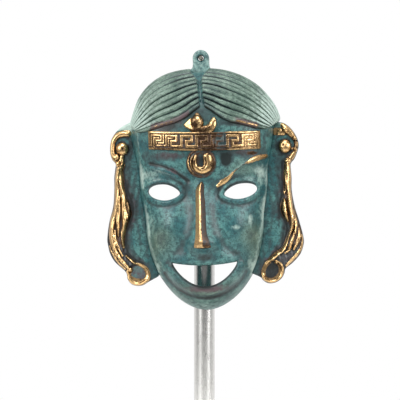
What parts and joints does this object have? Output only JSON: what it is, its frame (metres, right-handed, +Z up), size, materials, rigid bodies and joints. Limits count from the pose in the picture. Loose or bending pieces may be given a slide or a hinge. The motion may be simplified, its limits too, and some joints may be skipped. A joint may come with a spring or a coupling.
{
  "type": "bronze theatre mask",
  "caption": "Cast bronze theatre mask with pierced eyes, a grinning mouth, parted hair and curled side locks, hung on a steel rod that stands on a round foot.",
  "frame": {"origin": "middle of the foot's underside, on the rod's axis", "axes": "+Z up along the rod, the mask faces -Y, +X is to the viewer's right"},
  "size_m": [0.1126, 0.1, 0.2391],
  "materials": {
    "patinated_bronze": "waxed green patina, high spots polished",
    "polished_steel": "polished",
    "steel_wire": "drawn",
    "brushed_foot": "turned and brushed"
  },
  "bodies": {
    "root": {"mask": "patinated_bronze", "rod": "polished_steel", "pin": "steel_wire", "foot": "brushed_foot"}
  },
  "joints": []
}
